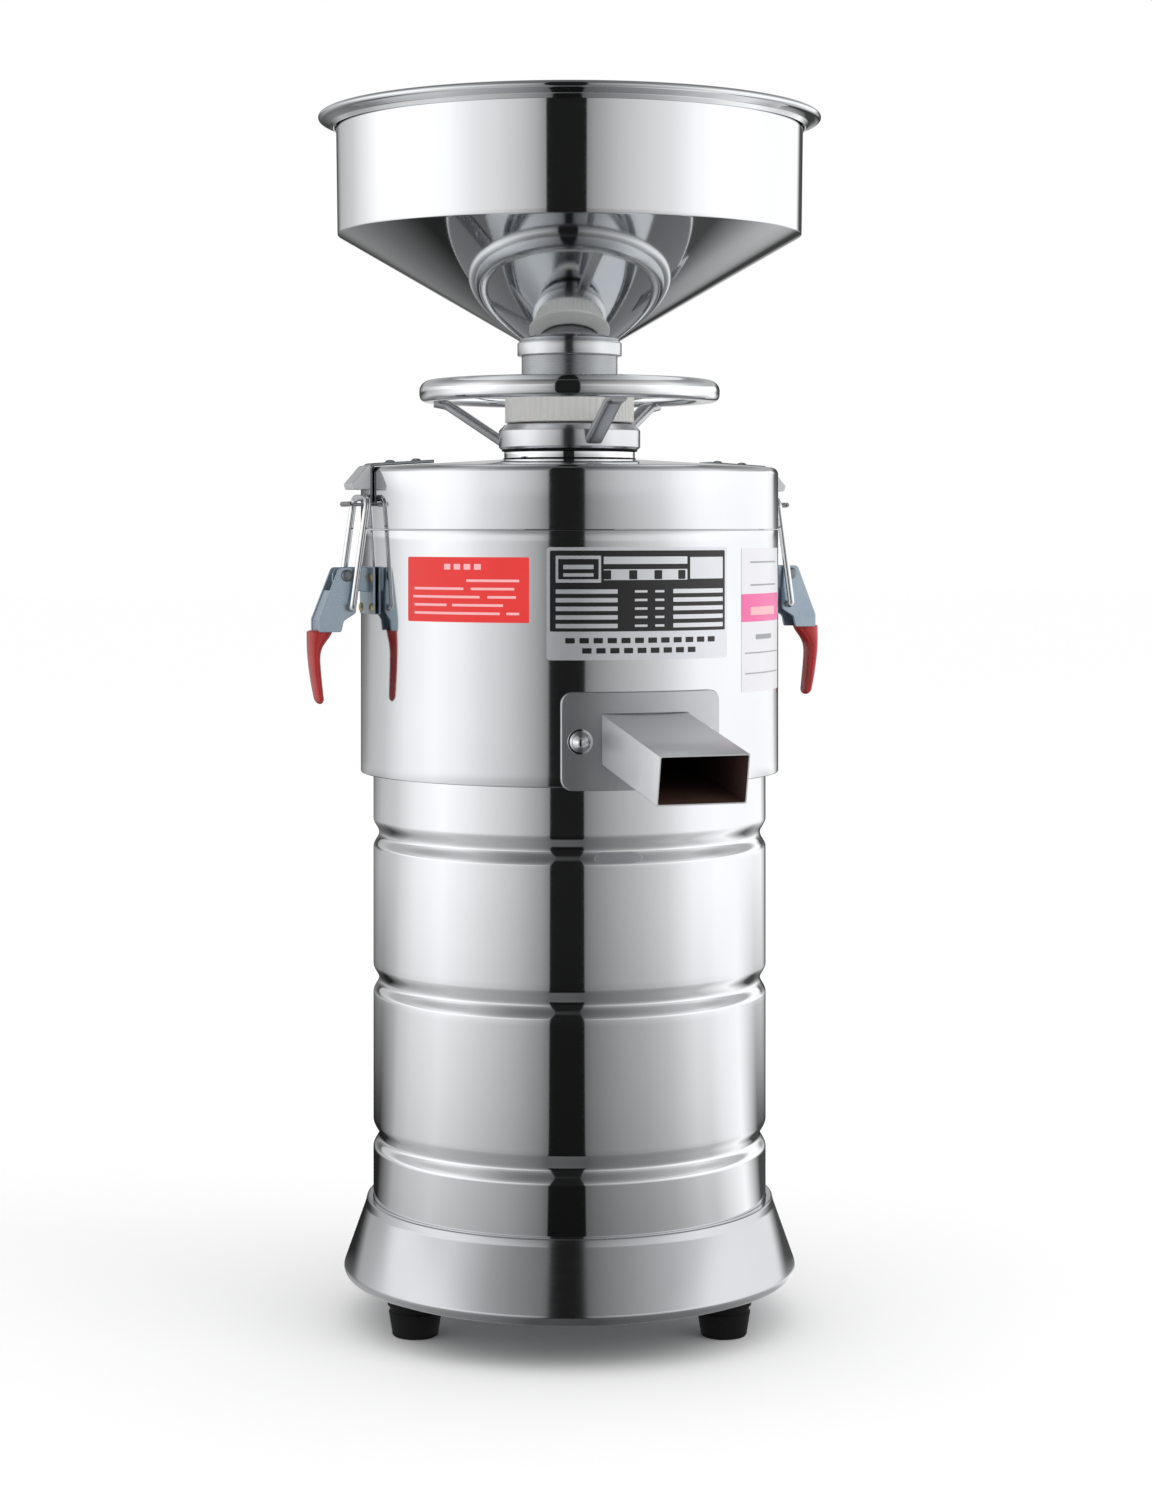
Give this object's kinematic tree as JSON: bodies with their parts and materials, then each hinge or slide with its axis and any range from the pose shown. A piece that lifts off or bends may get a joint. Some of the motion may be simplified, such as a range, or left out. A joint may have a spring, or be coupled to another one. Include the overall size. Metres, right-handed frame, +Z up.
{
  "type": "soybean wet grinder",
  "caption": "Upright stone wet grinder with hopper, gap-setting handwheel, latched lid, perforated basket, milk spout, residue chute and ribbed motor drum.",
  "frame": {"origin": "on the motor drum's vertical axis, at the floor that the rubber feet stand on", "axes": "+Z up along the shaft; the milk spout points along -Y, the residue chute along +Y, and the lid latches face +X and -X"},
  "size_m": [0.345, 0.45, 0.7606],
  "materials": {
    "polished_sheet": "mirror-polished stainless sheet",
    "brushed_sheet": "satin stainless sheet",
    "cast_metal": "as cast",
    "plain_steel": "plain machined steel",
    "zinc_plate": "blue zinc plate",
    "black_rubber": "matte",
    "red_vinyl": "dipped vinyl",
    "white_nylon": "moulded",
    "grey_stone": "dressed abrasive stone",
    "black_plastic": "moulded",
    "bare_aluminium": "drawn can"
  },
  "bodies": {
    "machine": {"base_skirt": "polished_sheet", "base_plate": "plain_steel", "rubber_foot_1": "black_rubber", "rubber_foot_2": "black_rubber", "rubber_foot_3": "black_rubber", "foot_bolt_1": "plain_steel", "foot_bolt_2": "plain_steel", "foot_bolt_3": "plain_steel", "motor_drum": "polished_sheet", "motor_bell_lower": "cast_metal", "motor_bell_upper": "cast_metal", "stator_core": "plain_steel", "bearing_lower": "plain_steel", "bearing_upper": "plain_steel", "run_capacitor": "bare_aluminium", "chamber_floor": "cast_metal", "shaft_seal": "black_rubber", "chamber_shell": "brushed_sheet", "chamber_rim": "brushed_sheet", "residue_shelf": "brushed_sheet", "milk_spout": "brushed_sheet", "spout_cap_nut_1": "polished_sheet", "spout_cap_nut_2": "polished_sheet", "residue_chute": "brushed_sheet", "latch_bracket_right": "brushed_sheet", "latch_bracket_left": "brushed_sheet", "latch_pin_right": "plain_steel", "latch_pin_left": "plain_steel", "switch_housing": "black_plastic", "cable_gland": "black_plastic"},
    "rotor": {"motor_shaft": "plain_steel", "rotor_core": "plain_steel", "cooling_fan": "black_plastic", "basket_carrier": "cast_metal", "sieve_basket": "brushed_sheet", "lower_stone": "grey_stone", "stone_nut": "plain_steel"},
    "lid": {"lid": "brushed_sheet", "lid_gasket": "white_nylon", "lid_collar": "polished_sheet", "keeper_right": "brushed_sheet", "keeper_left": "brushed_sheet"},
    "handwheel": {"handwheel_hub": "polished_sheet", "handwheel_rim": "polished_sheet", "handwheel_spoke_1": "polished_sheet", "handwheel_spoke_2": "polished_sheet", "handwheel_spoke_3": "polished_sheet"},
    "stone_carrier": {"keyed_sleeve": "white_nylon", "upper_stone_holder": "cast_metal", "upper_stone": "grey_stone"},
    "hopper": {"hopper_cone": "polished_sheet", "hopper_bowl": "polished_sheet", "hopper_collar": "polished_sheet"},
    "latch_right": {"latch_handle_right": "zinc_plate", "latch_grip_right": "red_vinyl"},
    "latch_left": {"latch_handle_left": "zinc_plate", "latch_grip_left": "red_vinyl"},
    "u_bolt_right": {"latch_u_bolt_right": "polished_sheet"},
    "u_bolt_left": {"latch_u_bolt_left": "polished_sheet"},
    "rocker": {"switch_rocker": "red_vinyl"}
  },
  "joints": [
    {"name": "rotor_spin", "type": "hinge", "parent": "machine", "child": "rotor", "pos_m": [0, 0, 0.38], "axis": [0, 0, 1], "continuous": true},
    {"name": "lid_lift", "type": "slide", "parent": "machine", "child": "lid", "axis": [0, 0, 1], "range_m": [0, 0.15]},
    {"name": "handwheel_turn", "type": "hinge", "parent": "lid", "child": "handwheel", "pos_m": [0, 0, 0.56], "axis": [0, 0, 1], "range_deg": [0, 720]},
    {"name": "stone_gap", "type": "slide", "parent": "lid", "child": "stone_carrier", "axis": [0, 0, 1], "range_m": [0, 0.006]},
    {"name": "hopper_lift", "type": "slide", "parent": "stone_carrier", "child": "hopper", "axis": [0, 0, 1], "range_m": [0, 0.1]},
    {"name": "latch_right_swing", "type": "hinge", "parent": "machine", "child": "latch_right", "pos_m": [0.1495, 0, 0.469], "axis": [0, -1, 0], "range_deg": [0, 120]},
    {"name": "latch_left_swing", "type": "hinge", "parent": "machine", "child": "latch_left", "pos_m": [-0.1495, 0, 0.469], "axis": [0, 1, 0], "range_deg": [0, 120]},
    {"name": "u_bolt_right_swing", "type": "hinge", "parent": "latch_right", "child": "u_bolt_right", "pos_m": [0.1475, 0, 0.449], "axis": [0, -1, 0], "range_deg": [-114.5, 0]},
    {"name": "u_bolt_left_swing", "type": "hinge", "parent": "latch_left", "child": "u_bolt_left", "pos_m": [-0.1475, 0, 0.449], "axis": [0, 1, 0], "range_deg": [-114.5, 0]},
    {"name": "switch_tilt", "type": "hinge", "parent": "machine", "child": "rocker", "pos_m": [0.06281, 0.11814, 0.16467], "axis": [0.8829, -0.4695, 0], "range_deg": [-8, 8]}
  ],
  "couplings": [
    {"joint": "stone_gap", "follows": "handwheel_turn", "m_per_rad": 0.000477},
    {"joint": "u_bolt_right_swing", "follows": "latch_right_swing", "ratio": -0.95},
    {"joint": "u_bolt_left_swing", "follows": "latch_left_swing", "ratio": -0.95}
  ]
}
